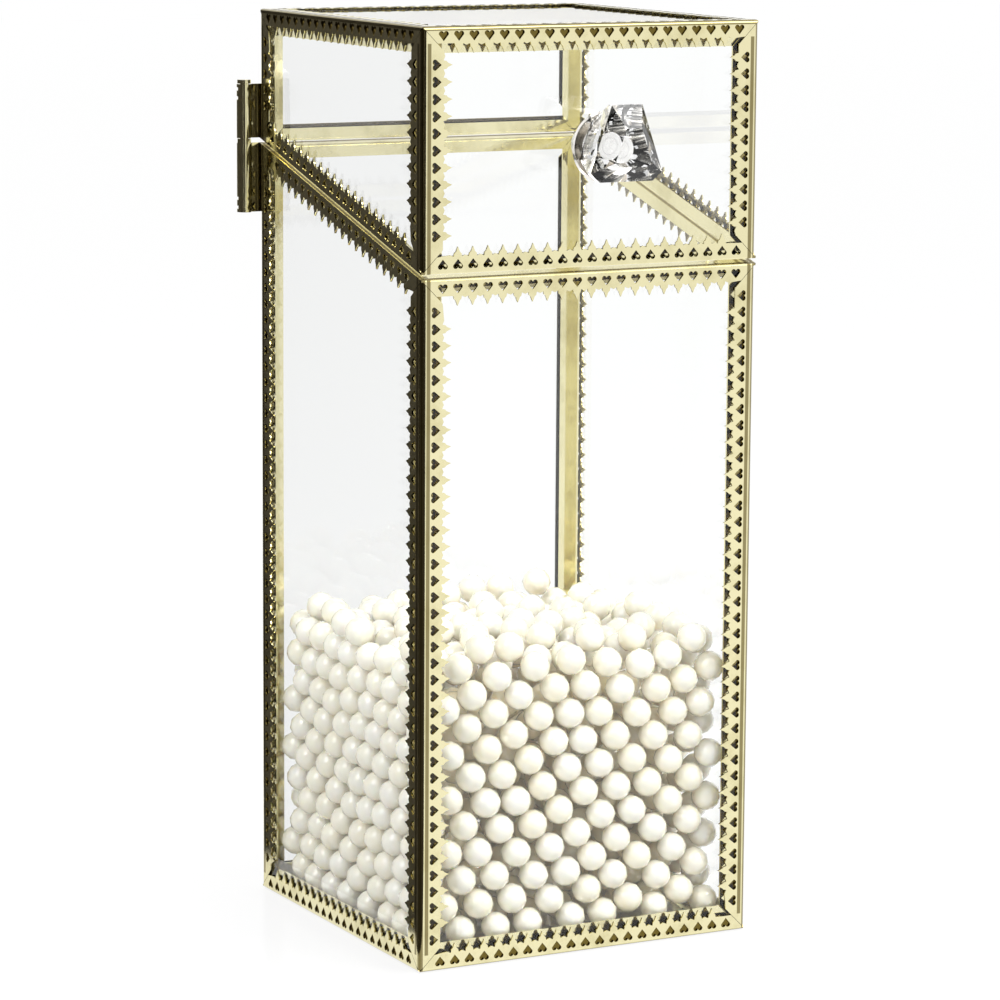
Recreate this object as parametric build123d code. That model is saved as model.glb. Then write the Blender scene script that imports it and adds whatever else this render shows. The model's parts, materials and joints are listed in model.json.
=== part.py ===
from build123d import *
from collections import namedtuple
from math import atan, ceil, cos, floor, radians, sin, sqrt, tan
import os
import random

# A tall square glass box in a frame of stamped brass strip, with a glass lid that swivels sideways
# on one upright hinge. Front is -Y, left is -X, and the table is at Z = 0.

# Overall sizes
width = 89.0                  # outside, left to right
depth = 89.0                  # outside, front to back
height = 221.0                # table to the lid's top face
seam_front_height = 163.9     # middle of the seam at the front face
seam_back_height = 188.9      # middle of the seam at the back face
seam_gap = 1.2                # clear height between the body's rim and the lid's rim

# Brass strip and glass
sheet = 0.5                   # brass sheet thickness
glass_thickness = 2.0
glass_play = 0.05             # clearance on each face of a pane in its channel
pane_edge_clearance = 0.1     # clearance between a pane's edge and the brass beside it
corner_radius = 0.9           # rounded outer edge of an angle strip
post_corner_radius = 1.5      # the same for the upright strips
lip_width = 3.1               # inner leg of a strip
plain_flange_width = 6.2      # outer leg without lace, on the back and underneath
mitre_gap = 0.1               # saw cut between two mitred strips
web_overlap = 0.2             # how far a rim's legs run up into its web
rim_relief = 1.3              # from the seam down, or up, to the edge of a pane in the rim
post_relief = 0.8             # from the seam to the end of a post's core and lips

# Stamped lace along the strips
lace_width = 6.2              # outer edge to the tips of the spires
lace_pitch = 3.9              # from one spire to the next
lace_band = 3.9               # outer edge to the valleys between the spires
lace_margin = 0.25            # metal left between a heart or a spire and the mitre
post_lace_shift = 1.6         # how much farther in the lace begins on the upright strips
bump_rise = 0.4               # small bump in each valley
spire_root = 1.05             # half width of a spire where it leaves the band
spire_shoulder = 0.9          # half width of a spire at its shoulder
spire_shoulder_rise = 0.75    # band to the shoulder
spire_neck = 0.5              # half width of the tip where it leaves the shoulder
spire_neck_rise = 1.1         # band to the foot of the tip
heart_centre = 2.25           # outer edge to the middle of a heart
heart_half_width = 1.25
heart_point = 1.15            # middle of a heart to its point
heart_side = 0.35             # middle of a heart to the widest place of its lobes
heart_notch = 0.7             # middle of a heart to the notch between its lobes
heart_lobe = 1.15             # middle of a heart to the top of a lobe

# Felt under the base mirror
felt_edge_clearance = 0.4     # felt to the brass legs around it

# Hinge at the back left corner
knuckle_radius = 1.85
pin_radius = 1.0
pin_play = 0.05               # radial clearance between the pin and a knuckle
hinge_out = 3.9               # left face to the hinge's axis
leaf_thickness = 0.8
leaf_reach = 5.4              # how far a leaf runs along the back face from the left face
body_knuckle_height = 17.0
lid_knuckle_height = 13.2
washer_play = 0.15            # air between the washer and the lid's knuckle
washer_inset = 0.15           # knuckle radius less washer radius
groove_depth = 0.3
groove_width = 0.8
groove_pitch = 2.2
groove_count = 2
pin_cap_height = 0.9
pin_end_gap = 1.2             # lower end of the pin to the lower end of the body's knuckle

# Knob on the lid's front pane
knob_offset = 0.4             # middle of the pane to the knob's axis, to the right
knob_hole_radius = 2.2
knob_screw_radius = 2.0       # M4
screw_play = 0.05
knob_screw_head_radius = 3.6
knob_screw_head_height = 2.4
knob_screw_slot_width = 1.0
knob_screw_slot_depth = 1.1
knob_washer_radius = 4.8
knob_washer_thickness = 0.8
dish_radius = 8.2
dish_foot_radius = 4.2
dish_depth = 4.6
dish_middle_depth = 1.7       # glass to the dish's outside, half way up its wall
dish_sheet = 0.6
insert_flange_radius = 4.2
insert_flange_thickness = 1.6
insert_shank_radius = 3.2
insert_shank_length = 7.0
insert_play = 0.05
crystal_top_half = 4.0        # half width of the crystal's cut-off top at its girdle
crystal_top_rise = 10.4       # knob axis to the crystal's top
crystal_side_half = 9.4       # half width at the widest corners
crystal_side_drop = 5.2       # knob axis down to the widest corners
crystal_bottom_half = 6.9
crystal_bottom_drop = 7.2
crystal_back_scale = 0.53     # size of the crystal's back compared with its girdle
crystal_table_scale = 0.5     # size of the flat table on the front compared with the girdle
crystal_back_depth = 12.0     # back of the crystal to the start of its girdle
crystal_girdle = 1.4
crystal_crown = 3.4           # girdle to the table

# Pearls
pearl_diameter = 7.6
pearl_level = 78.0            # table to the top of the highest pearls
pearl_unevenness = 3.0        # how far below that level the other pearls at the top may end
pearl_wall_clearance = 0.4    # pearls to the brass legs inside the walls
pearl_play = 0.1              # air between neighbouring pearls, and between a pearl and the block
pearl_fill_top = 65.0         # table to the top of the block that stands for the hidden pearls
pearl_tries = 40              # places tried for each pearl before it settles in the lowest one
pearl_seed = 11

# Worked out from the sizes above
channel = glass_thickness + 2 * glass_play
wall = sheet + channel + sheet
seam_rise = (seam_back_height - seam_front_height) / depth
seam_angle = atan(seam_rise)
web_start = sheet - web_overlap
body_rim_front = seam_front_height - seam_gap / 2
lid_rim_front = seam_front_height + seam_gap / 2
knob_height = (lid_rim_front + height) / 2
hinge_back = leaf_thickness / 2      # back face to the hinge's axis, which lies in the middle of the leaves

Panel = namedtuple("Panel", "plane corners")

# Direction of each wall's outward normal and of its outline's x axis, which runs to the right
# for someone who looks at the wall from outside.
wall_directions = {
    "front": ((0, -1, 0), (1, 0, 0)),
    "right": ((1, 0, 0), (0, 1, 0)),
    "back": ((0, 1, 0), (-1, 0, 0)),
    "left": ((-1, 0, 0), (0, -1, 0)),
}
bottom_edge, right_edge, top_edge, left_edge = range(4)
# For each wall, the edge of the top face, and of the underside, that lies along it.
upper_edge = {"front": 0, "right": 1, "back": 2, "left": 3}
under_edge = {"front": 2, "right": 1, "back": 0, "left": 3}
laced_faces = ("front", "right", "left", "top")
post_edges = {
    "front_left": (("front", left_edge), ("left", right_edge)),
    "front_right": (("front", right_edge), ("right", left_edge)),
    "back_left": (("back", right_edge), ("left", left_edge)),
    "back_right": (("back", left_edge), ("right", right_edge)),
}


def seam_height(y, shift=0.0):
    return (seam_front_height + seam_back_height) / 2 + seam_rise * y + shift


def body_low(y):
    return 0.0


def body_high(y):
    return seam_height(y, -seam_gap / 2)


def lid_low(y):
    return seam_height(y, seam_gap / 2)


def lid_high(y):
    return height


def wall_panel(side, low, high, inset=0.0, layer=0.0, low_inset=0.0, high_inset=0.0):
    """Outline of one wall, seen from outside, with its plane pushed inwards by layer."""
    normal, along = wall_directions[side]
    reach = depth / 2 if side in ("front", "back") else width / 2
    half = (width / 2 if side in ("front", "back") else depth / 2) - inset
    plane = Plane(origin=Vector(*normal) * (reach - layer), x_dir=along, z_dir=normal)

    def row_y(x):
        return along[1] * x + normal[1] * (depth / 2 - inset)

    corners = [
        (-half, low(row_y(-half)) + low_inset),
        (half, low(row_y(half)) + low_inset),
        (half, high(row_y(half)) - high_inset),
        (-half, high(row_y(-half)) - high_inset),
    ]
    return Panel(plane, corners)


def flat_panel(z, facing_up, inset=0.0, layer=0.0):
    """Outline of the top face or the underside."""
    half_x = width / 2 - inset
    half_y = depth / 2 - inset
    normal = (0, 0, 1) if facing_up else (0, 0, -1)
    lift = -layer if facing_up else layer
    plane = Plane(origin=(0, 0, z + lift), x_dir=(1, 0, 0), z_dir=normal)
    return Panel(plane, [(-half_x, -half_y), (half_x, -half_y), (half_x, half_y), (-half_x, half_y)])


def seam_panel(front_height, facing_up):
    """Outline of the sloping face of the body's rim or of the lid's rim.

    The web hangs square to the slope, so one of its ends is set back to stay inside the walls.
    """
    run = depth / cos(seam_angle)
    set_back = sheet * tan(seam_angle)
    up = Vector(0, -sin(seam_angle), cos(seam_angle))
    normal = up if facing_up else -up
    plane = Plane(origin=(0, -depth / 2, front_height), x_dir=(1, 0, 0), z_dir=normal)
    low, high = (0, run - set_back) if facing_up else (-run, -set_back)
    return Panel(plane, [(-width / 2, low), (width / 2, low), (width / 2, high), (-width / 2, high)])


def edge_frame(panel, index):
    """Start, direction, inward direction, length and the two corner angles of one edge."""
    points = [Vector(*corner) for corner in panel.corners]
    before, start, end, after = (points[(index + step) % 4] for step in (-1, 0, 1, 2))
    along = (end - start).normalized()
    inward = Vector(-along.Y, along.X)
    start_angle = radians(along.get_angle(before - start))
    end_angle = radians((-along).get_angle(after - end))
    return start, along, inward, (end - start).length, start_angle, end_angle


def mitre(inward_distance, angle):
    """How far along an edge a mitre has moved from the corner, at a distance inwards."""
    return inward_distance / tan(angle / 2) + mitre_gap / 2 / sin(angle / 2)


def mitred_ends(start_depth, end_depth, angle, end_min):
    """Points of one mitred end as (along, inwards), with the tip cut square at end_min."""
    points = [(max(mitre(start_depth, angle), end_min), start_depth)]
    tip_depth = (end_min - mitre(0, angle)) * tan(angle / 2)
    if start_depth < tip_depth < end_depth:
        points.append((end_min, tip_depth))
    points.append((mitre(end_depth, angle), end_depth))
    return points


def heart_wire(place):
    """Heart with its lobes towards the strip's outer edge."""
    point = place(0, heart_point)
    right = place(heart_half_width, -heart_side)
    notch = place(0, -heart_notch)
    left = place(-heart_half_width, -heart_side)
    right_lobe = place(heart_half_width / 2, -heart_lobe)
    left_lobe = place(-heart_half_width / 2, -heart_lobe)
    return Wire([
        Edge.make_line(point, right),
        Edge.make_three_point_arc(right, right_lobe, notch),
        Edge.make_three_point_arc(notch, left_lobe, left),
        Edge.make_line(left, point),
    ])


def pattern_places(low, high, middle):
    """Middles of the units that fit between low and high, with one unit in the middle."""
    first = ceil((low - middle) / lace_pitch)
    last = floor((high - middle) / lace_pitch)
    return [middle + step * lace_pitch for step in range(first, last + 1)]


def strip_plate(panel, index, start_depth, end_depth, lace=False, start_min=0.0, end_min=0.0, shift=0.0):
    """One leg of a strip: a mitred plate that lies in the panel, one sheet thick."""
    start, along, inward, length, start_angle, end_angle = edge_frame(panel, index)

    def place(s, d):
        return start + along * s + inward * d

    band = lace_band + shift
    tips = lace_width + shift
    middle = heart_centre + shift
    body_depth = band if lace else end_depth
    head = mitred_ends(start_depth, body_depth, start_angle, start_min)
    tail = mitred_ends(start_depth, body_depth, end_angle, end_min)
    teeth = []
    holes = []
    if lace:
        spire_low = mitre(tips, start_angle) + lace_margin
        spire_high = length - mitre(tips, end_angle) - lace_margin
        for s in pattern_places(spire_low, spire_high, length / 2):
            teeth += [
                (s - lace_pitch / 2, band + bump_rise),
                (s - spire_root, band),
                (s - spire_shoulder, band + spire_shoulder_rise),
                (s - spire_neck, band + spire_neck_rise),
                (s, tips),
                (s + spire_neck, band + spire_neck_rise),
                (s + spire_shoulder, band + spire_shoulder_rise),
                (s + spire_root, band),
            ]
        room = heart_half_width + lace_margin
        heart_low = mitre(middle + heart_side, start_angle) + room
        heart_high = length - mitre(middle + heart_side, end_angle) - room
        for s in pattern_places(heart_low, heart_high, length / 2):
            holes.append(heart_wire(lambda ds, d, s=s: place(s + ds, middle + d)))
    outline = head + teeth + [(length - s, d) for s, d in reversed(tail)]
    border = Wire.make_polygon([place(s, d) for s, d in outline], close=True)
    plate = extrude(Face(border, holes), amount=sheet, dir=(0, 0, -1))
    return panel.plane.location * plate


def mitre_planes(panel, index):
    """The two cutting planes of an edge's mitres, facing away from the strip."""
    start, along, inward, length, start_angle, end_angle = edge_frame(panel, index)
    planes = []
    for corner, direction, angle in ((start, along, start_angle), (start + along * length, -along, end_angle)):
        bisector = direction * cos(angle / 2) + inward * sin(angle / 2)
        across = direction * sin(angle / 2) - inward * cos(angle / 2)
        origin = panel.plane.from_local_coords(corner + across * (mitre_gap / 2))
        normal = panel.plane.from_local_coords(across) - panel.plane.origin
        x_dir = panel.plane.from_local_coords(bisector) - panel.plane.origin
        planes.append(Plane(origin=origin, x_dir=x_dir, z_dir=-normal))
    return planes


def corner_bar(panel_a, index_a, panel_b, index_b, core_planes=(), radius=corner_radius):
    """Rounded outer edge and solid core of an angle strip, along the edge that two panels share.

    Both are made a wall's thickness too long at each end and cut to length. The rounded edge is mitred,
    and so is the core unless it gets cutting planes of its own.
    """
    start, along, inward, length, _, _ = edge_frame(panel_a, index_a)
    origin = panel_a.plane.from_local_coords(start)
    direction = panel_a.plane.from_local_coords(start + along) - origin
    toward_a = panel_a.plane.from_local_coords(start + inward) - origin
    section = Plane(origin=origin - direction * wall, x_dir=toward_a, z_dir=direction)
    depth_side = 1 if section.y_dir.dot(panel_a.plane.z_dir) < 0 else -1

    def place(a, b):
        return Vector(a, depth_side * b)

    def bar(edges, planes):
        solid = section.location * extrude(Face(Wire(edges)), amount=length + 2 * wall, dir=(0, 0, 1))
        for cut in planes:
            solid = split(solid, bisect_by=cut, keep=Keep.BOTTOM)
        return solid

    middle = radius * (1 - cos(radians(45)))
    round_points = [(radius, 0), (radius, sheet), (sheet, sheet), (sheet, radius), (0, radius)]
    round_edges = [Edge.make_line(place(*p), place(*q)) for p, q in zip(round_points, round_points[1:])]
    round_edges.append(Edge.make_three_point_arc(
        place(*round_points[-1]), place(middle, middle), place(*round_points[0])
    ))
    core_points = [(sheet, sheet), (wall, sheet), (wall, wall), (sheet, wall), (sheet, sheet)]
    core_edges = [Edge.make_line(place(*p), place(*q)) for p, q in zip(core_points, core_points[1:])]
    mitres = mitre_planes(panel_a, index_a) + mitre_planes(panel_b, index_b)
    return bar(round_edges, mitres) + bar(core_edges, core_planes or mitres)


def flange(side, panel, index, radius=corner_radius, shift=0.0):
    """Outer leg of an angle strip, laced on the faces that show."""
    laced = side in laced_faces
    return strip_plate(panel, index, radius, lace_width if laced else plain_flange_width, laced, shift=shift)


def lip(panel, index, start_min=0.0, end_min=0.0):
    """Plain inner leg of an angle strip."""
    return strip_plate(panel, index, 0.0, lip_width, False, start_min, end_min)


def post(name, low, high, low_inset, high_inset, seam_end, seam_plane):
    """Upright angle strip at one corner, from the flat end to just short of the seam."""
    (side_a, index_a), (side_b, index_b) = post_edges[name]
    outer = [wall_panel(side, low, high) for side in (side_a, side_b)]
    inner = [
        wall_panel(side, low, high, wall, wall - sheet, low_inset, high_inset)
        for side in (side_a, side_b)
    ]
    core_planes = [seam_plane]
    legs = []
    for side, panel, lining, index in zip((side_a, side_b), outer, inner, (index_a, index_b)):
        runs_up = index == right_edge
        seam_last = runs_up == (seam_end == "top")
        flat_end = 0 if seam_last else 1
        core_planes.append(mitre_planes(panel, index)[flat_end])
        legs.append(flange(side, panel, index, post_corner_radius, post_lace_shift))
        legs.append(lip(lining, index, 0.0 if seam_last else post_relief, post_relief if seam_last else 0.0))
    solid = corner_bar(outer[0], index_a, outer[1], index_b, core_planes, post_corner_radius)
    for leg in legs:
        solid += leg
    return solid


def flat_trim(side, low, high, low_inset, high_inset, flat, flat_inner, flat_index, wall_index, flat_name):
    """Level angle strip along the table or along the lid's top."""
    panel = wall_panel(side, low, high)
    lining = wall_panel(side, low, high, wall, wall - sheet, low_inset, high_inset)
    solid = corner_bar(panel, wall_index, flat, flat_index)
    solid += flange(side, panel, wall_index)
    solid += flange(flat_name, flat, flat_index)
    solid += lip(lining, wall_index)
    solid += lip(flat_inner, flat_index)
    return solid


def rim(side, low, high, low_inset, high_inset, seam, seam_index, wall_index):
    """Channel strip over the panes' edges along the seam."""
    laced = side in laced_faces
    panel = wall_panel(side, low, high)
    lining = wall_panel(side, low, high, wall, wall - sheet, low_inset, high_inset)
    outer_width = lace_width if laced else lip_width
    solid = strip_plate(seam, seam_index, 0.0, wall)
    solid += strip_plate(panel, wall_index, web_start, outer_width, laced, sheet, sheet)
    solid += strip_plate(lining, wall_index, web_start, lip_width)
    return solid


def pane(panel, thickness=glass_thickness):
    """Glass pane that fills its panel's outline, behind the outer legs."""
    border = Wire.make_polygon([Vector(*corner) for corner in panel.corners], close=True)
    glass = extrude(Face(border), amount=thickness, dir=(0, 0, -1))
    return panel.plane.location * glass


def on_knob_axis(solid):
    """Stands a piece made along +Z on the lid's front pane, pointing out of it."""
    front_of_glass = -depth / 2 + sheet + glass_play
    seat = Plane(origin=(knob_offset, front_of_glass, knob_height), x_dir=(1, 0, 0), z_dir=(0, -1, 0))
    return seat.location * solid


def rod(radius, bottom, top):
    return Pos(0, 0, bottom) * Solid.make_cylinder(radius, top - bottom)


def tube(outer_radius, inner_radius, bottom, top):
    return rod(outer_radius, bottom, top) - rod(inner_radius, bottom, top)


def knob_backplate():
    """Dished round plate that opens forwards, with a flat foot on the glass."""
    hole = knob_screw_radius + screw_play
    middle = (dish_foot_radius + dish_radius) / 2
    slope = atan(dish_depth / (dish_radius - dish_foot_radius))
    profile = Wire([
        Edge.make_line((hole, 0, 0), (dish_foot_radius, 0, 0)),
        Edge.make_three_point_arc(
            (dish_foot_radius, 0, 0), (middle, 0, dish_middle_depth), (dish_radius, 0, dish_depth)
        ),
        Edge.make_line((dish_radius, 0, dish_depth), (dish_radius - dish_sheet, 0, dish_depth)),
        Edge.make_three_point_arc(
            (dish_radius - dish_sheet, 0, dish_depth),
            (middle - dish_sheet * sin(slope), 0, dish_middle_depth + dish_sheet * cos(slope)),
            (dish_foot_radius, 0, dish_sheet),
        ),
        Edge.make_line((dish_foot_radius, 0, dish_sheet), (hole, 0, dish_sheet)),
        Edge.make_line((hole, 0, dish_sheet), (hole, 0, 0)),
    ])
    return revolve(Face(profile), axis=Axis.Z)


def knob_insert():
    """Flanged brass sleeve, threaded inside, cemented into the crystal's back."""
    flange_top = dish_sheet + insert_flange_thickness
    solid = tube(insert_flange_radius, knob_screw_radius + screw_play, dish_sheet, flange_top)
    shank_top = flange_top + insert_shank_length
    solid += tube(insert_shank_radius, knob_screw_radius + screw_play, flange_top, shank_top)
    return solid


def crystal_outline(scale, z):
    """Outline with a cut-off top and two cut corners below, as six points."""
    points = [
        (crystal_top_half, crystal_top_rise), (-crystal_top_half, crystal_top_rise),
        (-crystal_side_half, -crystal_side_drop), (-crystal_bottom_half, -crystal_bottom_drop),
        (crystal_bottom_half, -crystal_bottom_drop), (crystal_side_half, -crystal_side_drop),
    ]
    return [Vector(x * scale, y * scale, z) for x, y in points]


def knob_crystal():
    """Faceted clear crystal that widens from its back to a girdle, with a flat table in front."""
    back = dish_sheet + insert_flange_thickness
    girdle_low = back + crystal_back_depth
    girdle_high = girdle_low + crystal_girdle
    table = girdle_high + crystal_crown
    rings = [
        crystal_outline(crystal_back_scale, back),
        crystal_outline(1.0, girdle_low),
        crystal_outline(1.0, girdle_high),
        crystal_outline(crystal_table_scale, table),
    ]
    faces = [Face(Wire.make_polygon(rings[0], close=True)), Face(Wire.make_polygon(rings[-1], close=True))]
    for lower, upper in zip(rings, rings[1:]):
        for index in range(6):
            after = (index + 1) % 6
            quad = [lower[index], lower[after], upper[after], upper[index]]
            faces.append(Face(Wire.make_polygon(quad, close=True)))
    crystal = Solid(Shell(faces))
    bore = rod(insert_shank_radius + insert_play, back, back + insert_shank_length + insert_play)
    return crystal - bore


def knob_screw():
    """Pan-head screw from inside the lid, through the pane and into the insert."""
    tip = dish_sheet + insert_flange_thickness + insert_shank_length
    under_head = -glass_thickness - knob_washer_thickness
    solid = rod(knob_screw_radius, under_head, tip)
    solid += rod(knob_screw_head_radius, under_head - knob_screw_head_height, under_head)
    slot = Box(2 * knob_screw_head_radius, knob_screw_slot_width, 2 * knob_screw_slot_depth)
    return solid - Pos(0, 0, under_head - knob_screw_head_height) * slot


def knob_washer():
    return tube(
        knob_washer_radius, knob_hole_radius, -glass_thickness - knob_washer_thickness, -glass_thickness
    )


def hinge_half(bottom, knuckle_height, grooves_up):
    """One knuckle with ring grooves at its free end, and the leaf that is soldered to the back."""
    axis_x = -width / 2 - hinge_out
    axis_y = depth / 2 + hinge_back
    knuckle = Pos(axis_x, axis_y, bottom) * rod(knuckle_radius, 0, knuckle_height)
    leaf_length = hinge_out + leaf_reach
    leaf = Box(leaf_length, leaf_thickness, knuckle_height, align=(Align.MIN, Align.MIN, Align.MIN))
    solid = knuckle + Pos(axis_x, depth / 2, bottom) * leaf
    solid -= Pos(axis_x, axis_y, bottom) * rod(pin_radius + pin_play, 0, knuckle_height)
    for step in range(groove_count):
        from_end = groove_width + step * groove_pitch
        z = knuckle_height - from_end - groove_width if grooves_up else from_end
        ring = tube(knuckle_radius + groove_depth, knuckle_radius - groove_depth, z, z + groove_width)
        keep_leaf = Box(2 * knuckle_radius, leaf_thickness, groove_width, align=(Align.MIN, Align.MIN, Align.MIN))
        ring -= Pos(0, -hinge_back, z) * keep_leaf
        solid -= Pos(axis_x, axis_y, bottom) * ring
    return solid


def hinge_pieces():
    body_knuckle_top = body_high(depth / 2)
    lid_knuckle_bottom = lid_low(depth / 2)
    body_knuckle_bottom = body_knuckle_top - body_knuckle_height
    lid_knuckle_top = lid_knuckle_bottom + lid_knuckle_height
    place = Pos(-width / 2 - hinge_out, depth / 2 + hinge_back, 0)
    pin = rod(pin_radius, body_knuckle_bottom + pin_end_gap, lid_knuckle_top + washer_play)
    cap_bottom = lid_knuckle_top + washer_play
    pin += rod(knuckle_radius - washer_inset, cap_bottom, cap_bottom + pin_cap_height)
    washer = tube(
        knuckle_radius - washer_inset, pin_radius + pin_play, body_knuckle_top,
        lid_knuckle_bottom - washer_play,
    )
    return {
        "hinge_body_leaf": hinge_half(body_knuckle_bottom, body_knuckle_height, False),
        "hinge_lid_leaf": hinge_half(lid_knuckle_bottom, lid_knuckle_height, True),
        "hinge_pin": place * pin,
        "hinge_washer": place * washer,
    }


def resting_height(x, y, settled, floor_height):
    """Height at which the middle of a pearl dropped at x, y comes to rest."""
    spacing = pearl_diameter + pearl_play
    rest = floor_height + pearl_diameter / 2
    for other_x, other_y, other_z in settled:
        apart = (x - other_x) ** 2 + (y - other_y) ** 2
        if apart < spacing ** 2:
            rest = max(rest, other_z + sqrt(spacing ** 2 - apart))
    return rest


def settle(chance, place, room, settled, floor_height):
    """Drops pearls until none fits under the level any more. place turns numbers from 0 to 1 into a spot."""
    misses = 0
    while misses < pearl_tries:
        spots = [[chance.random() for _ in range(room)] for _ in range(pearl_tries)]
        best = min(spots, key=lambda spot: resting_height(*place(spot), settled, floor_height))
        step = 0.5 / pearl_tries
        while step > 0.0001:
            near = [best] + [[(u + chance.uniform(-step, step)) % 1.0 for u in best] for _ in range(8)]
            best = min(near, key=lambda spot: resting_height(*place(spot), settled, floor_height))
            step /= 2
        x, y = place(best)
        z = resting_height(x, y, settled, floor_height)
        if z + pearl_diameter / 2 > pearl_level - pearl_unevenness * chance.random():
            misses += 1
        else:
            misses = 0
            settled.append((x, y, z))
    return settled


def pearl_pieces():
    """Pearls that show, at random against the walls and on top, around one block for those that they hide."""
    half_x = width / 2 - wall - pearl_wall_clearance
    half_y = depth / 2 - wall - pearl_wall_clearance
    reach_x = half_x - pearl_diameter / 2
    reach_y = half_y - pearl_diameter / 2

    def along_walls(spot):
        turn = spot[0] * 4
        side = floor(turn) % 4
        run = 2 * (turn - floor(turn)) - 1
        return [
            (run * reach_x, -reach_y), (reach_x, run * reach_y),
            (-run * reach_x, reach_y), (-reach_x, -run * reach_y),
        ][side]

    def anywhere(spot):
        return (2 * spot[0] - 1) * reach_x, (2 * spot[1] - 1) * reach_y

    chance = random.Random(pearl_seed)
    settled = settle(chance, along_walls, 1, [], wall + pearl_play)
    settled = settle(chance, anywhere, 2, settled, pearl_fill_top + pearl_play)
    inset = pearl_diameter + pearl_play
    block = Rectangle(2 * (half_x - inset), 2 * (half_y - inset))
    fill = Pos(0, 0, wall) * extrude(block, amount=pearl_fill_top - wall)
    pearls = [Pos(*spot) * Solid.make_sphere(pearl_diameter / 2) for spot in settled]
    print("pearls", len(pearls))
    return {"pearl_fill": fill, "pearls": Compound(children=pearls)}


def frame_set(prefix, low, high, seam, seam_edges, seam_plane):
    """All strips of the body or of the lid."""
    is_lid = prefix == "lid"
    low_inset, high_inset = (0.0, wall) if is_lid else (wall, 0.0)
    flat_z = height if is_lid else 0.0
    flat = flat_panel(flat_z, is_lid)
    flat_inner = flat_panel(flat_z, is_lid, wall, wall - sheet)
    flat_edges = upper_edge if is_lid else under_edge
    flat_wall_edge = top_edge if is_lid else bottom_edge
    seam_wall_edge = bottom_edge if is_lid else top_edge
    pieces = {}
    for name in post_edges:
        seam_end = "bottom" if is_lid else "top"
        pieces[f"{prefix}_post_{name}"] = post(name, low, high, low_inset, high_inset, seam_end, seam_plane)
    for side in wall_directions:
        flat_word, flat_name = ("top", "top") if is_lid else ("base", "underside")
        pieces[f"{prefix}_{flat_word}_trim_{side}"] = flat_trim(
            side, low, high, low_inset, high_inset, flat, flat_inner,
            flat_edges[side], flat_wall_edge, flat_name,
        )
        pieces[f"{prefix}_rim_{side}"] = rim(
            side, low, high, low_inset, high_inset, seam, seam_edges[side], seam_wall_edge
        )
    return pieces


def pane_set(prefix, low, high):
    """The four wall panes and the flat pane of the body or of the lid."""
    is_lid = prefix == "lid"
    edge_inset = wall + pane_edge_clearance
    low_inset, high_inset = (rim_relief, edge_inset) if is_lid else (edge_inset, rim_relief)
    layer = sheet + glass_play
    pieces = {}
    for side in wall_directions:
        panel = wall_panel(side, low, high, edge_inset, layer, low_inset, high_inset)
        pieces[f"{prefix}_{side}_pane"] = pane(panel)
    flat_z = height if is_lid else 0.0
    flat_node = "lid_top_pane" if is_lid else "base_mirror"
    pieces[flat_node] = pane(flat_panel(flat_z, is_lid, edge_inset, layer))
    return pieces


def base_felt():
    """Felt sheet glued to the mirror's back, level with the brass legs around it."""
    inset = plain_flange_width + felt_edge_clearance
    sheet_of_felt = Rectangle(width - 2 * inset, depth - 2 * inset)
    return extrude(sheet_of_felt, amount=sheet + glass_play, dir=(0, 0, 1))


def build():
    body_seam = seam_panel(body_rim_front, True)
    lid_seam = seam_panel(lid_rim_front, False)
    relief = post_relief * cos(seam_angle)
    body_cut = body_seam.plane.offset(-relief)
    lid_cut = lid_seam.plane.offset(-relief)
    pieces = {}
    pieces.update(frame_set("body", body_low, body_high, body_seam, upper_edge, body_cut))
    pieces.update(frame_set("lid", lid_low, lid_high, lid_seam, under_edge, lid_cut))
    pieces.update(pane_set("body", body_low, body_high))
    pieces.update(pane_set("lid", lid_low, lid_high))
    knob_hole = rod(knob_hole_radius, -2 * glass_thickness, glass_thickness)
    pieces["lid_front_pane"] -= on_knob_axis(knob_hole)
    for maker in (knob_backplate, knob_insert, knob_crystal, knob_screw, knob_washer):
        pieces[maker.__name__] = on_knob_axis(maker())
    pieces["base_felt"] = base_felt()
    pieces.update(hinge_pieces())
    pieces.update(pearl_pieces())
    return pieces


os.makedirs("parts", exist_ok=True)
for node, shape in build().items():
    shape.label = node
    export_step(shape, f"parts/{node}.step")
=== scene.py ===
import bmesh
import bpy
import json
import math
import random
from mathutils import Matrix, Vector


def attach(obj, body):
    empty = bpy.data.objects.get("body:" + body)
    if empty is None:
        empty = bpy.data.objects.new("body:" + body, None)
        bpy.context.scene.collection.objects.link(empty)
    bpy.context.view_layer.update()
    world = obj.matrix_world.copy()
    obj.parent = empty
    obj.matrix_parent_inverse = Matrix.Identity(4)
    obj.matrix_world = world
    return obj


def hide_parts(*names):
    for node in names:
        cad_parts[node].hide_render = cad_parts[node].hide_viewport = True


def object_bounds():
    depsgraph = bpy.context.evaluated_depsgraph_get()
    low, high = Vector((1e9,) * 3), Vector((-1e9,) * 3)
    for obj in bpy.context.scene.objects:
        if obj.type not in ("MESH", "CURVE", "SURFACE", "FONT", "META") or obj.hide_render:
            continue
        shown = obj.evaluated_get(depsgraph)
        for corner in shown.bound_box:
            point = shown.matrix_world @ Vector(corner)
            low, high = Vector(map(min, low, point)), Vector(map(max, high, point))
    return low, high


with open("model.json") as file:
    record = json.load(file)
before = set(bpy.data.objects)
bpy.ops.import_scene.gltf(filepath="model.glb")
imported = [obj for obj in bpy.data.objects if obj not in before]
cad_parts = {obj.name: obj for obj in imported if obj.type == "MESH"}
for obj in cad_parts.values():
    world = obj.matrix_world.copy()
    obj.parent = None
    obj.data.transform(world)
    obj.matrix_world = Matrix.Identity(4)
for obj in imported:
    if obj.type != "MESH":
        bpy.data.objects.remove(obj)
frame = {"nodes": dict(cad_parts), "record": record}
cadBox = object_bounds()
scene = bpy.context.scene
scene.view_settings.view_transform = "Standard"


# Camera

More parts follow.
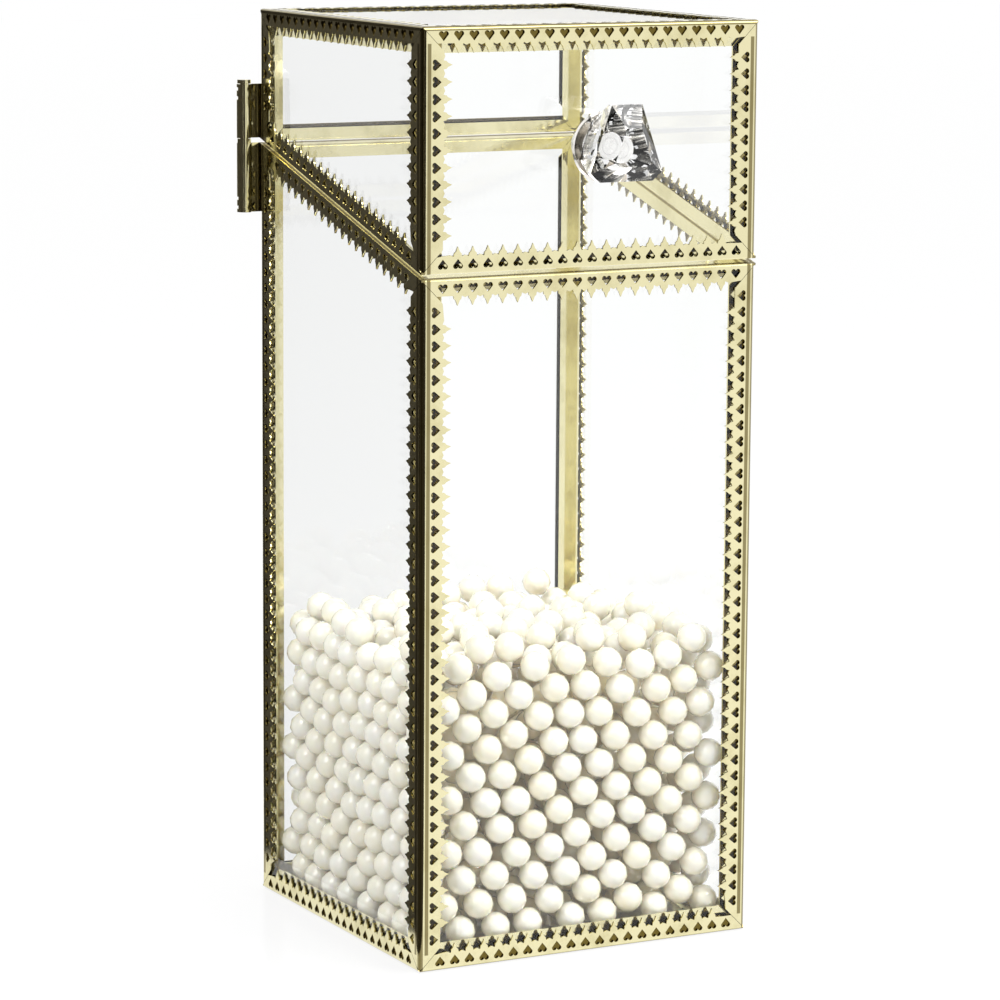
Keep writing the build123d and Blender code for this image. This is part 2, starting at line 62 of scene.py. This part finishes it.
cameraSetup = {
    "yaw": 27.724, "pitch": 9.472, "roll": 0.372,  # degrees
    "distance": 1.02286, "aimX": -0.00047, "aimZ": 0.10272,
    "lens": 150.51, "sensor": 36.0,
}


def addCamera(setup):
    yaw, pitch, roll = (math.radians(setup[key]) for key in ("yaw", "pitch", "roll"))
    forward = Vector((math.sin(yaw) * math.cos(pitch), math.cos(yaw) * math.cos(pitch), -math.sin(pitch)))
    right = Vector((math.cos(yaw), -math.sin(yaw), 0.0))
    up = right.cross(forward)
    turnedRight = right * math.cos(roll) + up * math.sin(roll)
    turnedUp = up * math.cos(roll) - right * math.sin(roll)
    place = Vector((setup["aimX"], 0.0, setup["aimZ"])) - forward * setup["distance"]
    axes = Matrix((turnedRight, turnedUp, -forward)).transposed().to_4x4()
    data = bpy.data.cameras.new("camera")
    data.lens = setup["lens"]
    data.sensor_width = setup["sensor"]
    data.clip_start = 0.01
    data.clip_end = 20.0
    camera = bpy.data.objects.new("camera", data)
    camera.matrix_world = Matrix.Translation(place) @ axes
    scene.collection.objects.link(camera)
    scene.camera = camera


addCamera(cameraSetup)
print("camera set")


# Node helpers

def newMaterial(name):
    material = bpy.data.materials.new(name)
    material.use_nodes = True
    nodes = material.node_tree.nodes
    return material, nodes, material.node_tree.links, nodes["Principled BSDF"]


def newGroup(name, inputs, outputs):
    group = bpy.data.node_groups.new(name, "ShaderNodeTree")
    for label, kind, value in inputs:
        socket = group.interface.new_socket(name=label, in_out="INPUT", socket_type=kind)
        socket.default_value = value
    for label, kind in outputs:
        group.interface.new_socket(name=label, in_out="OUTPUT", socket_type=kind)
    entry = group.nodes.new("NodeGroupInput")
    leave = group.nodes.new("NodeGroupOutput")
    return group, entry, leave


def placeGroup(nodes, group, values):
    node = nodes.new("ShaderNodeGroup")
    node.node_tree = group
    for label, value in values.items():
        node.inputs[label].default_value = value
    return node


def mixColor(tree, factor, first, second):
    node = tree.nodes.new("ShaderNodeMix")
    node.data_type = "RGBA"
    for index, value in ((0, factor), (6, first), (7, second)):
        if hasattr(value, "is_linked"):
            tree.links.new(value, node.inputs[index])
        else:
            node.inputs[index].default_value = value
    return node.outputs[2]


def mathNode(tree, operation, first, second=0.0, clamp=False):
    node = tree.nodes.new("ShaderNodeMath")
    node.operation = operation
    node.use_clamp = clamp
    for index, value in enumerate((first, second)):
        if hasattr(value, "is_linked"):
            tree.links.new(value, node.inputs[index])
        else:
            node.inputs[index].default_value = value
    return node.outputs[0]


def noiseNode(tree, vector, size, detail=3.0, roughness=0.5):
    node = tree.nodes.new("ShaderNodeTexNoise")
    node.inputs["Scale"].default_value = 1.0 / size
    node.inputs["Detail"].default_value = detail
    node.inputs["Roughness"].default_value = roughness
    tree.links.new(vector, node.inputs["Vector"])
    return node.outputs[0]


def rangeNode(tree, value, low, high, toLow=0.0, toHigh=1.0):
    node = tree.nodes.new("ShaderNodeMapRange")
    tree.links.new(value, node.inputs[0])
    for index, number in enumerate((low, high, toLow, toHigh)):
        node.inputs[index + 1].default_value = number
    return node.outputs[0]


def objectAxes(tree):  # object coordinates as x, y and z
    split = tree.nodes.new("ShaderNodeSeparateXYZ")
    tree.links.new(tree.nodes.new("ShaderNodeTexCoord").outputs["Object"], split.inputs[0])
    return split.outputs


def seenRays(tree):  # 1 for rays from the camera, directly or through glass or off a polished piece
    path = tree.nodes.new("ShaderNodeLightPath")
    shown = mathNode(tree, "MAXIMUM", path.outputs["Is Camera Ray"], path.outputs["Is Glossy Ray"])
    return mathNode(tree, "MAXIMUM", shown, path.outputs["Is Transmission Ray"])


def blendShaders(tree, factor, first, second):
    blend = tree.nodes.new("ShaderNodeMixShader")
    for index, output in enumerate((factor, first, second)):
        tree.links.new(output, blend.inputs[index])
    tree.links.new(blend.outputs[0], tree.nodes["Material Output"].inputs["Surface"])


def addBump(tree, shader, height, strength, distance):
    bump = tree.nodes.new("ShaderNodeBump")
    bump.inputs["Strength"].default_value = strength
    bump.inputs["Distance"].default_value = distance
    tree.links.new(height, bump.inputs["Height"])
    tree.links.new(bump.outputs[0], shader.inputs["Normal"])


# Shared effects

def buildMetalWear():
    group, entry, leave = newGroup(
        "metalWear",
        [
            ("Metal", "NodeSocketColor", (0.8, 0.6, 0.3, 1.0)),
            ("Tarnish", "NodeSocketColor", (0.4, 0.25, 0.1, 1.0)),
            ("Tarnish Amount", "NodeSocketFloat", 0.3),
            ("Roughness", "NodeSocketFloat", 0.12),
        ],
        [("Color", "NodeSocketColor"), ("Roughness", "NodeSocketFloat"), ("Height", "NodeSocketFloat")],
    )
    links = group.links
    where = group.nodes.new("ShaderNodeTexCoord").outputs["Object"]
    clouds = noiseNode(group, where, 0.011, 5.0, 0.62)
    specks = noiseNode(group, where, 0.0012, 2.0, 0.5)
    stretch = group.nodes.new("ShaderNodeMapping")
    stretch.inputs["Scale"].default_value = (1.0, 1.0, 0.08)
    links.new(where, stretch.inputs["Vector"])
    rubbing = noiseNode(group, stretch.outputs[0], 0.0006, 3.0, 0.6)
    dull = rangeNode(group, clouds, 0.48, 0.72)
    amount = mathNode(group, "MULTIPLY", dull, entry.outputs["Tarnish Amount"], True)
    skin = mixColor(group, amount, entry.outputs["Metal"], entry.outputs["Tarnish"])
    links.new(skin, leave.inputs["Color"])
    cloudSpread = rangeNode(group, clouds, 0.3, 0.8, -0.04, 0.1)
    speckSpread = rangeNode(group, specks, 0.3, 0.7, -0.02, 0.03)
    spread = mathNode(group, "ADD", cloudSpread, speckSpread)
    links.new(mathNode(group, "ADD", entry.outputs["Roughness"], spread, True), leave.inputs["Roughness"])
    height = mathNode(group, "ADD", mathNode(group, "MULTIPLY", rubbing, 0.35), specks)
    links.new(height, leave.inputs["Height"])
    return group


def buildSmudges():
    group, entry, leave = newGroup(
        "smudges",
        [("Clean", "NodeSocketFloat", 0.0), ("Smudged", "NodeSocketFloat", 0.1)],
        [("Roughness", "NodeSocketFloat"), ("Height", "NodeSocketFloat")],
    )
    where = group.nodes.new("ShaderNodeTexCoord").outputs["Object"]
    wipes = noiseNode(group, where, 0.03, 4.0, 0.6)
    waves = noiseNode(group, where, 0.05, 1.0, 0.4)
    mask = rangeNode(group, wipes, 0.5, 0.8)
    rise = mathNode(group, "SUBTRACT", entry.outputs["Smudged"], entry.outputs["Clean"])
    spread = mathNode(group, "MULTIPLY", mask, rise)
    group.links.new(mathNode(group, "ADD", spread, entry.outputs["Clean"], True), leave.inputs["Roughness"])
    group.links.new(waves, leave.inputs["Height"])
    return group


# The masks below measure from the box's upright middle line, and heights from the level that is as far
# below the top as the walls are from that line, so that the top face and the walls have the same distance.
boxSetup = {"halfSide": 0.0445, "topToCentre": 0.1765}
paintedShadeAndReflectionSetup = {
    "shallow": 0.00012, "deep": 0.0004, "inside": 0.0009,  # below the outer skin
    "outside": 0.0447, "roundStart": 0.0434, "paintedBandLow": 0.0422, "paintedBandHigh": 0.0430,  # from the middle
    "low": 0.004, "high": 0.217,  # ends of the painted dark reflection bands
    "soft": 0.00015, "lineDepth": 0.8,
}
paintedStripShadeSetup = {
    "outerFace": 0.0436, "edge": 0.0409, "postEdge": 0.0393,  # from the middle
    "base": 0.0036, "seamHeight": 0.1764, "seamSlope": 0.2809, "seamReach": 0.0036, "soft": 0.0002,
}


def rising(tree, value, place, soft):  # 0 below place - soft, 1 above place
    return rangeNode(tree, value, place - soft, place)


def falling(tree, value, place, soft):  # 1 below place, 0 above place + soft
    return rangeNode(tree, value, place, place + soft, 1.0, 0.0)


def boxPlaces(group, box):
    axes = objectAxes(group)
    across, along = [mathNode(group, "ABSOLUTE", axes[axis]) for axis in (0, 1)]
    larger = mathNode(group, "MAXIMUM", across, along)
    smaller = mathNode(group, "MINIMUM", across, along)
    up = mathNode(group, "SUBTRACT", axes[2], box["topToCentre"])
    return axes, larger, smaller, up


def buildPaintedShadeAndReflection(box, setup):  # painted shade and reflection: 1 for painted shade in the cups behind the hearts, less for painted dark reflection bands along the posts and on rounded edges
    group, _, leave = newGroup("paintedShadeAndReflection", [], [("Mask", "NodeSocketFloat")])
    axes, larger, smaller, up = boxPlaces(group, box)
    soft = setup["soft"]
    reach = mathNode(group, "MAXIMUM", larger, up)
    below = mathNode(group, "SUBTRACT", box["halfSide"], reach)
    outer = rangeNode(group, below, setup["shallow"], setup["deep"])
    inner = falling(group, below, setup["inside"], setup["deep"])
    cups = mathNode(group, "MULTIPLY", outer, inner)
    edge = mathNode(group, "MAXIMUM", smaller, mathNode(group, "MINIMUM", larger, up))
    lines = rangeNode(group, edge, setup["roundStart"], setup["roundStart"] + soft)
    paintedBand = rising(group, smaller, setup["paintedBandLow"], soft)
    paintedBand = mathNode(group, "MULTIPLY", paintedBand, falling(group, smaller, setup["paintedBandHigh"], soft))
    aboveFoot = rangeNode(group, axes[2], setup["low"], setup["low"] + soft)
    paintedBand = mathNode(group, "MULTIPLY", paintedBand, aboveFoot)
    paintedBand = mathNode(group, "MULTIPLY", paintedBand, falling(group, axes[2], setup["high"], soft))
    lines = mathNode(group, "MAXIMUM", lines, paintedBand)
    onBox = falling(group, larger, setup["outside"], soft)
    lines = mathNode(group, "MULTIPLY", mathNode(group, "MULTIPLY", lines, onBox), setup["lineDepth"])
    group.links.new(mathNode(group, "MAXIMUM", cups, lines), leave.inputs["Mask"])
    return group


def buildPaintedStripShade(box, setup):  # painted shade: 1 on the panes' outer faces under the stamped strips, where the glass is darkened
    group, _, leave = newGroup("paintedStripShade", [], [("Mask", "NodeSocketFloat")])
    axes, larger, smaller, up = boxPlaces(group, box)
    soft = setup["soft"]
    seam = mathNode(group, "MULTIPLY", axes[1], setup["seamSlope"])
    seam = mathNode(group, "ADD", seam, setup["seamHeight"])
    seam = mathNode(group, "ABSOLUTE", mathNode(group, "SUBTRACT", axes[2], seam))
    underTop = rising(group, mathNode(group, "MINIMUM", larger, up), setup["edge"], soft)
    onSide = rangeNode(group, up, setup["outerFace"] - soft, setup["outerFace"], 1.0, 0.0)
    besidePost = mathNode(group, "MULTIPLY", onSide, rising(group, smaller, setup["postEdge"], soft))
    near = mathNode(group, "MAXIMUM", underTop, besidePost)
    near = mathNode(group, "MAXIMUM", near, falling(group, seam, setup["seamReach"], soft))
    near = mathNode(group, "MAXIMUM", near, falling(group, axes[2], setup["base"], soft))
    outer = rising(group, mathNode(group, "MAXIMUM", larger, up), setup["outerFace"], soft)
    group.links.new(mathNode(group, "MULTIPLY", near, outer, True), leave.inputs["Mask"])
    return group


paintedShadeAndReflection = buildPaintedShadeAndReflection(boxSetup, paintedShadeAndReflectionSetup)
paintedStripShade = buildPaintedStripShade(boxSetup, paintedStripShadeSetup)
metalWear = buildMetalWear()
smudges = buildSmudges()


# Materials

# the dark cup colour is painted shade in the cups behind the hearts and painted dark reflection on the
# rounded edges
brassFinish = {
    "metal": (0.85, 0.79, 0.49, 1.0), "tarnish": (0.50, 0.43, 0.18, 1.0), "tarnishAmount": 0.45,
    "roughness": 0.10, "bump": 0.12, "paintedShadeColor": (0.16, 0.12, 0.03, 1.0),
}


def metalMaterial(name, finish):
    material, nodes, links, shader = newMaterial(name)
    wear = placeGroup(nodes, metalWear, {
        "Metal": finish["metal"], "Tarnish": finish["tarnish"],
        "Tarnish Amount": finish["tarnishAmount"], "Roughness": finish["roughness"],
    })
    shader.inputs["Metallic"].default_value = 1.0
    skin = wear.outputs["Color"]
    # painted shade and painted dark reflection mixed into the brass colour
    if "paintedShadeColor" in finish:
        mask = placeGroup(nodes, paintedShadeAndReflection, {}).outputs["Mask"]
        skin = mixColor(material.node_tree, mask, skin, finish["paintedShadeColor"])
    links.new(skin, shader.inputs["Base Color"])
    links.new(wear.outputs["Roughness"], shader.inputs["Roughness"])
    addBump(material.node_tree, shader, wear.outputs["Height"], finish["bump"], 0.00006)
    return material


# the last colour is painted shade, laid on the glass under the stamped strips
glassFinish = {
    "color": (0.995, 1.0, 0.998, 1.0), "ior": 1.47, "smudged": 0.02, "bump": 0.015,
    "paintedStripShade": (0.13, 0.10, 0.03, 1.0),
}
crystalFinish = {"color": (0.995, 1.0, 1.0, 1.0), "ior": 1.5, "smudged": 0.0, "bump": 0.004}
shadowTint = (0.96, 0.97, 0.965, 1.0)  # light that passes a pane on its way to what is inside


def glassMaterial(name, finish):
    material, nodes, links, shader = newMaterial(name)
    tree = material.node_tree
    wipe = placeGroup(nodes, smudges, {"Clean": 0.0, "Smudged": finish["smudged"]})
    shader.inputs["Base Color"].default_value = finish["color"]
    if "paintedStripShade" in finish:  # painted shade under the strips, seen from outside only; from inside the strips show their own metal
        side = nodes.new("ShaderNodeNewGeometry").outputs["Backfacing"]
        shade = mathNode(tree, "SUBTRACT", placeGroup(nodes, paintedStripShade, {}).outputs["Mask"], side, True)
        links.new(mixColor(tree, shade, finish["color"], finish["paintedStripShade"]), shader.inputs["Base Color"])
    shader.inputs["Transmission Weight"].default_value = 1.0
    shader.inputs["IOR"].default_value = finish["ior"]
    links.new(wipe.outputs["Roughness"], shader.inputs["Roughness"])
    addBump(tree, shader, wipe.outputs["Height"], finish["bump"], 0.0001)
    clear = nodes.new("ShaderNodeBsdfTransparent")
    clear.inputs["Color"].default_value = shadowTint
    shadowRay = nodes.new("ShaderNodeLightPath").outputs["Is Shadow Ray"]
    blendShaders(tree, shadowRay, shader.outputs[0], clear.outputs[0])
    return material


# the warm colour is the pearls' own tone, differing at random, and on the hidden pearls painted warm light
# in the gaps
pearlFinish = {
    "color": (0.98, 0.95, 0.87, 1.0), "warmToneAndGapLight": (0.97, 0.82, 0.50, 1.0), "edge": (0.97, 0.88, 0.68, 1.0),
    "roughness": 0.15, "coat": 1.0, "coatIor": 1.9,
}


def pearlMaterial(name, finish):
    material, nodes, links, shader = newMaterial(name)
    tree = material.node_tree
    where = nodes.new("ShaderNodeTexCoord").outputs["Object"]
    toneAndGapLight = nodes.new("ShaderNodeAttribute")
    toneAndGapLight.attribute_name = "toneAndGapLight"
    swirl = noiseNode(tree, where, 0.004, 3.0)
    swirls = rangeNode(tree, swirl, 0.3, 0.7, 0.5, 1.0)
    # random tone on the shown pearls, painted warm gap light on the hidden ones
    warmthAndGapLight = mathNode(tree, "MULTIPLY", toneAndGapLight.outputs["Fac"], swirls, True)
    body = mixColor(tree, warmthAndGapLight, finish["color"], finish["warmToneAndGapLight"])
    # painted sheen: towards their rims the pearls turn a warmer gold by view angle, standing in for the
    # brass they reflect
    facing = nodes.new("ShaderNodeLayerWeight")
    facing.inputs["Blend"].default_value = 0.35
    links.new(mixColor(tree, facing.outputs["Facing"], body, finish["edge"]), shader.inputs["Base Color"])
    gloss = rangeNode(tree, swirl, 0.2, 0.8, finish["roughness"] - 0.04, finish["roughness"] + 0.08)
    links.new(gloss, shader.inputs["Roughness"])
    shader.inputs["Subsurface Weight"].default_value = 0.35
    shader.inputs["Subsurface Radius"].default_value = (1.0, 0.8, 0.5)
    shader.inputs["Subsurface Scale"].default_value = 0.003
    shader.inputs["Coat Weight"].default_value = finish["coat"]
    shader.inputs["Coat IOR"].default_value = finish["coatIor"]
    shader.inputs["Coat Roughness"].default_value = 0.06
    addBump(tree, shader, swirl, 0.05, 0.0002)
    return material


def clothMaterial(name, color):
    material, nodes, links, shader = newMaterial(name)
    tree = material.node_tree
    where = nodes.new("ShaderNodeTexCoord").outputs["Object"]
    fibres = noiseNode(tree, where, 0.0006, 5.0, 0.7)
    patches = noiseNode(tree, where, 0.01, 3.0)
    lighter = tuple(min(1.0, c * 1.9 + 0.01) for c in color[:3]) + (1.0,)
    mask = mathNode(tree, "MULTIPLY", fibres, rangeNode(tree, patches, 0.3, 0.7, 0.5, 1.0), True)
    links.new(mixColor(tree, mask, color, lighter), shader.inputs["Base Color"])
    links.new(rangeNode(tree, fibres, 0.2, 0.8, 0.82, 0.98), shader.inputs["Roughness"])
    shader.inputs["Sheen Weight"].default_value = 0.4
    addBump(tree, shader, fibres, 0.6, 0.0003)
    return material


def plasticMaterial(name, color, roughness):
    material, nodes, links, shader = newMaterial(name)
    tree = material.node_tree
    where = nodes.new("ShaderNodeTexCoord").outputs["Object"]
    grain = noiseNode(tree, where, 0.0008, 4.0)
    darker = tuple(c * 0.88 for c in color[:3]) + (1.0,)
    links.new(mixColor(tree, rangeNode(tree, grain, 0.4, 0.7), color, darker), shader.inputs["Base Color"])
    gloss = rangeNode(tree, grain, 0.3, 0.7, roughness - 0.05, roughness + 0.08)
    links.new(gloss, shader.inputs["Roughness"])
    addBump(tree, shader, grain, 0.15, 0.0001)
    return material


materials = {
    "brass": metalMaterial("polishedBrass", brassFinish),
    "clear_glass": glassMaterial("clearGlass", glassFinish),
    "crystal": glassMaterial("cutCrystal", crystalFinish),
    "mirror_glass": metalMaterial("mirrorGlass", {
        "metal": (0.86, 0.88, 0.88, 1.0), "tarnish": (0.7, 0.72, 0.72, 1.0), "tarnishAmount": 0.2,
        "roughness": 0.04, "bump": 0.02,
    }),
    "chrome_dish": metalMaterial("platedDish", {
        "metal": (0.92, 0.89, 0.84, 1.0), "tarnish": (0.62, 0.50, 0.32, 1.0), "tarnishAmount": 0.4,
        "roughness": 0.09, "bump": 0.05,
    }),
    "plated_steel": metalMaterial("platedSteel", {
        "metal": (0.72, 0.72, 0.72, 1.0), "tarnish": (0.4, 0.4, 0.4, 1.0), "tarnishAmount": 0.4,
        "roughness": 0.2, "bump": 0.15,
    }),
    "insert": metalMaterial("paleInsert", {
        "metal": (0.93, 0.92, 0.90, 1.0), "tarnish": (0.40, 0.36, 0.30, 1.0), "tarnishAmount": 0.5,
        "roughness": 0.25, "bump": 0.2,
    }),
    "felt": clothMaterial("baseFelt", (0.03, 0.03, 0.03, 1.0)),
    "nylon": plasticMaterial("nylonWasher", (0.85, 0.85, 0.80, 1.0), 0.4),
    "pearl": pearlMaterial("pearlLustre", pearlFinish),
}
print("materials made:", len(materials))

ownFinish = {"knob_insert": "insert", "knob_screw": "insert"}  # nodes whose finish isn't their slot's own
for part in frame["record"]["subparts"]:
    shell = frame["nodes"][part["node"]]
    shell.data.materials.clear()
    shell.data.materials.append(materials[ownFinish.get(part["node"], part["material_slot"])])


def addPiece(bm, name, material, body, smooth=False):
    mesh = bpy.data.meshes.new(name)
    bm.to_mesh(mesh)
    bm.free()
    if smooth:
        mesh.shade_smooth()
    mesh.materials.append(materials[material])
    piece = bpy.data.objects.new(name, mesh)
    scene.collection.objects.link(piece)
    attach(piece, body)
    return piece


# Pearls, dropped one by one, each into the lowest of the places tried: along the walls, then on top

# the last value, the hidden pearls' tone, is painted warm light in the gaps between the shown pearls
pearlBed = {
    "diameter": 0.0076, "smallest": 0.0073, "play": 0.0001, "wallFace": 0.0414, "wallClearance": 0.0004,
    "floor": 0.0031, "blockTop": 0.065, "level": 0.078, "unevenness": 0.003, "tries": 40, "seed": 11,
    "beadDetail": 2, "shownTone": 0.4, "paintedGapLightTone": 1.0,
}


def restingHeight(bed, spot, settled, floorHeight):
    spacing = bed["diameter"] + bed["play"]
    rest = floorHeight + bed["diameter"] / 2
    for otherX, otherY, otherZ in settled:
        apart = (spot[0] - otherX) ** 2 + (spot[1] - otherY) ** 2
        if apart < spacing ** 2:
            rest = max(rest, otherZ + math.sqrt(spacing ** 2 - apart))
    return rest


def settlePearls(bed, chance, place, room, settled, floorHeight, level):
    misses = 0
    while misses < bed["tries"]:
        spots = [[chance.random() for _ in range(room)] for _ in range(bed["tries"])]
        best = min(spots, key=lambda spot: restingHeight(bed, place(spot), settled, floorHeight))
        step = 0.5 / bed["tries"]
        while step > 0.0001:
            near = [best] + [[(u + chance.uniform(-step, step)) % 1.0 for u in best] for _ in range(8)]
            best = min(near, key=lambda spot: restingHeight(bed, place(spot), settled, floorHeight))
            step /= 2
        x, y = place(best)
        z = restingHeight(bed, (x, y), settled, floorHeight)
        if z + bed["diameter"] / 2 > level - bed["unevenness"] * chance.random():
            misses += 1
        else:
            misses = 0
            settled.append((x, y, z))
    return settled


def pearlCentres(bed):
    half = bed["wallFace"] - bed["wallClearance"]
    reach = half - bed["diameter"] / 2
    inset = bed["diameter"] + bed["play"]
    inside = reach - inset

    def alongWalls(spot):
        turn = spot[0] * 4
        side = math.floor(turn) % 4
        run = (2 * (turn - math.floor(turn)) - 1) * reach
        return [(run, -reach), (reach, run), (-run, reach), (-reach, -run)][side]

    def anywhere(spot):
        return (2 * spot[0] - 1) * reach, (2 * spot[1] - 1) * reach

    def behind(spot):
        turn = spot[0] * 4
        side = math.floor(turn) % 4
        run = (2 * (turn - math.floor(turn)) - 1) * inside
        deep = inside - spot[1] * bed["diameter"]
        return [(run, -deep), (deep, run), (-run, deep), (-deep, -run)][side]

    chance = random.Random(bed["seed"])
    outer = settlePearls(bed, chance, alongWalls, 1, [], bed["floor"] + bed["play"], bed["level"])
    outer = settlePearls(bed, chance, anywhere, 2, outer, bed["blockTop"] + bed["play"], bed["level"])
    inner = settlePearls(bed, chance, behind, 2, [], bed["floor"] + bed["play"], bed["blockTop"])
    return outer, inner


def addPearls(bed):
    chance = random.Random(bed["seed"] + 1)
    outer, inner = pearlCentres(bed)
    layers = (("pearlsShown", "pearls", outer), ("pearlsBehind", "pearl_fill", inner))
    for name, replaced, centres in layers:
        seedBead = bmesh.new()
        bmesh.ops.create_icosphere(seedBead, subdivisions=bed["beadDetail"], radius=0.5)
        bead = bpy.data.meshes.new("bead")
        seedBead.to_mesh(bead)
        seedBead.free()
        beadVerts = len(bead.vertices)
        bm = bmesh.new()
        toneAndGapLightValues = []
        for centre in centres:
            size = chance.uniform(bed["smallest"], bed["diameter"])
            axis = Vector((chance.uniform(-1, 1), chance.uniform(-1, 1), 1.0)).normalized()
            place = Matrix.Translation(centre) @ Matrix.Rotation(chance.uniform(0, 6.28), 4, axis)
            place = place @ Matrix.Diagonal((size, size, size, 1.0))
            bead.transform(place)
            bm.from_mesh(bead)
            bead.transform(place.inverted())
            # the hidden pearls get the full warm tone as painted warm light in the gaps; the shown pearls'
            # tone differs at random
            toneAndGapLight = bed["paintedGapLightTone"] if replaced == "pearl_fill" else chance.random() * bed["shownTone"]
            toneAndGapLightValues += [toneAndGapLight] * beadVerts
        piece = addPiece(bm, name, "pearl", "case", smooth=True)
        piece.data.attributes.new("toneAndGapLight", "FLOAT", "POINT").data.foreach_set("value", toneAndGapLightValues)
        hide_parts(replaced)
        bpy.data.meshes.remove(bead)
        print(name, len(centres), "pearls")


addPearls(pearlBed)


# Floor and light

stageSetup = {
    "floorSize": 8.0, "floorColor": (0.96, 0.96, 0.96, 1.0), "floorRoughness": 0.12, "floorGlow": 0.82,
    "floorSpecular": 0.25, "skyStrength": 0.95,
}
darkCards = {  # panels seen only in reflections, and only from the box: low corner, high corner, facing
    "leftBack": ((-0.15, -0.02, 0.0), (-0.15, 1.6, 0.55), "X"),
    "floorLeft": ((-1.60, -1.60, 0.0006), (-0.058, 1.6, 0.0006), "Z"),
    "leftSide": ((-1.60, -1.6, 0.0), (-1.60, 0.6, 1.2), "X"),
    "behindCamera": ((-1.60, -1.70, 0.0), (-0.25, -1.70, 1.3), "Y"),
    "stand": ((-0.58, -1.10, 0.0), (-0.46, -1.10, 1.2), "Y"),
    "boom": ((-0.95, -1.10, 1.2), (-0.09, -1.10, 1.42), "Y"),
}
darkCardColor = (0.03, 0.025, 0.02, 1.0)
softboxes = {  # place, size, power, and whether polished pieces reflect it
    "keyLight": ((0.5, -0.6, 0.9), (0.6, 0.6), 7.5, True),
    "fillLight": ((-0.7, -0.3, 0.7), (0.5, 0.7), 3.0, False),
}
softboxAim = (0, 0, 0.1)


def addFloor(setup):
    bm = bmesh.new()
    bmesh.ops.create_grid(bm, x_segments=2, y_segments=2, size=setup["floorSize"] / 2)
    bmesh.ops.translate(bm, verts=bm.verts, vec=(0, 0, cadBox[0][2] - 0.0001))
    mesh = bpy.data.meshes.new("floor")
    bm.to_mesh(mesh)
    bm.free()
    material, nodes, _, shader = newMaterial("paleFloor")
    shader.inputs["Base Color"].default_value = setup["floorColor"]
    shader.inputs["Roughness"].default_value = setup["floorRoughness"]
    shader.inputs["Specular IOR Level"].default_value = setup["floorSpecular"]
    tree = material.node_tree
    glow = nodes.new("ShaderNodeEmission")
    share = mathNode(tree, "MULTIPLY", seenRays(tree), setup["floorGlow"])
    blendShaders(tree, share, shader.outputs[0], glow.outputs[0])
    mesh.materials.append(material)
    floor = bpy.data.objects.new("floor", mesh)
    scene.collection.objects.link(floor)


def addSky(setup):
    world = bpy.data.worlds.new("studio")
    scene.world = world
    world.use_nodes = True
    tree = world.node_tree
    background = tree.nodes["Background"]
    strength = rangeNode(tree, seenRays(tree), 0.0, 1.0, setup["skyStrength"], 1.0)
    tree.links.new(strength, background.inputs["Strength"])
    background.inputs["Color"].default_value = (1.0, 1.0, 1.0, 1.0)


def addSoftboxes(boxes, aim):
    for name, (place, size, power, reflected) in boxes.items():
        data = bpy.data.lights.new(name, "AREA")
        data.shape = "RECTANGLE"
        data.size, data.size_y = size
        data.energy = power
        lamp = bpy.data.objects.new(name, data)
        lamp.location = place
        lamp.visible_glossy = reflected
        lamp.rotation_euler = (Vector(aim) - Vector(place)).to_track_quat("-Z", "Y").to_euler()
        scene.collection.objects.link(lamp)


def addDarkCards(cards):
    material, nodes, _, shader = newMaterial("darkCard")
    shader.inputs["Base Color"].default_value = darkCardColor
    shader.inputs["Roughness"].default_value = 0.9
    fromBehind = nodes.new("ShaderNodeNewGeometry").outputs["Backfacing"]
    unseen = nodes.new("ShaderNodeBsdfTransparent")
    blendShaders(material.node_tree, fromBehind, shader.outputs[0], unseen.outputs[0])
    turns = {
        "X": Matrix.Rotation(math.pi / 2, 3, "Y"), "Y": Matrix.Rotation(-math.pi / 2, 3, "X"),
        "Z": Matrix.Identity(3),
    }
    for name, (low, high, facing) in cards.items():
        bm = bmesh.new()
        bmesh.ops.create_grid(bm, x_segments=1, y_segments=1, size=0.5)
        bmesh.ops.rotate(bm, verts=bm.verts, matrix=turns[facing])
        middle = (Vector(low) + Vector(high)) / 2
        span = Vector(high) - Vector(low)
        bmesh.ops.scale(bm, verts=bm.verts, vec=[max(edge, 0.001) for edge in span])
        bmesh.ops.translate(bm, verts=bm.verts, vec=middle)
        mesh = bpy.data.meshes.new(name)
        bm.to_mesh(mesh)
        bm.free()
        mesh.materials.append(material)
        card = bpy.data.objects.new(name, mesh)
        card.visible_camera = card.visible_diffuse = card.visible_transmission = card.visible_shadow = False
        scene.collection.objects.link(card)


addFloor(stageSetup)
addSky(stageSetup)
addDarkCards(darkCards)
addSoftboxes(softboxes, softboxAim)
print("stage set")
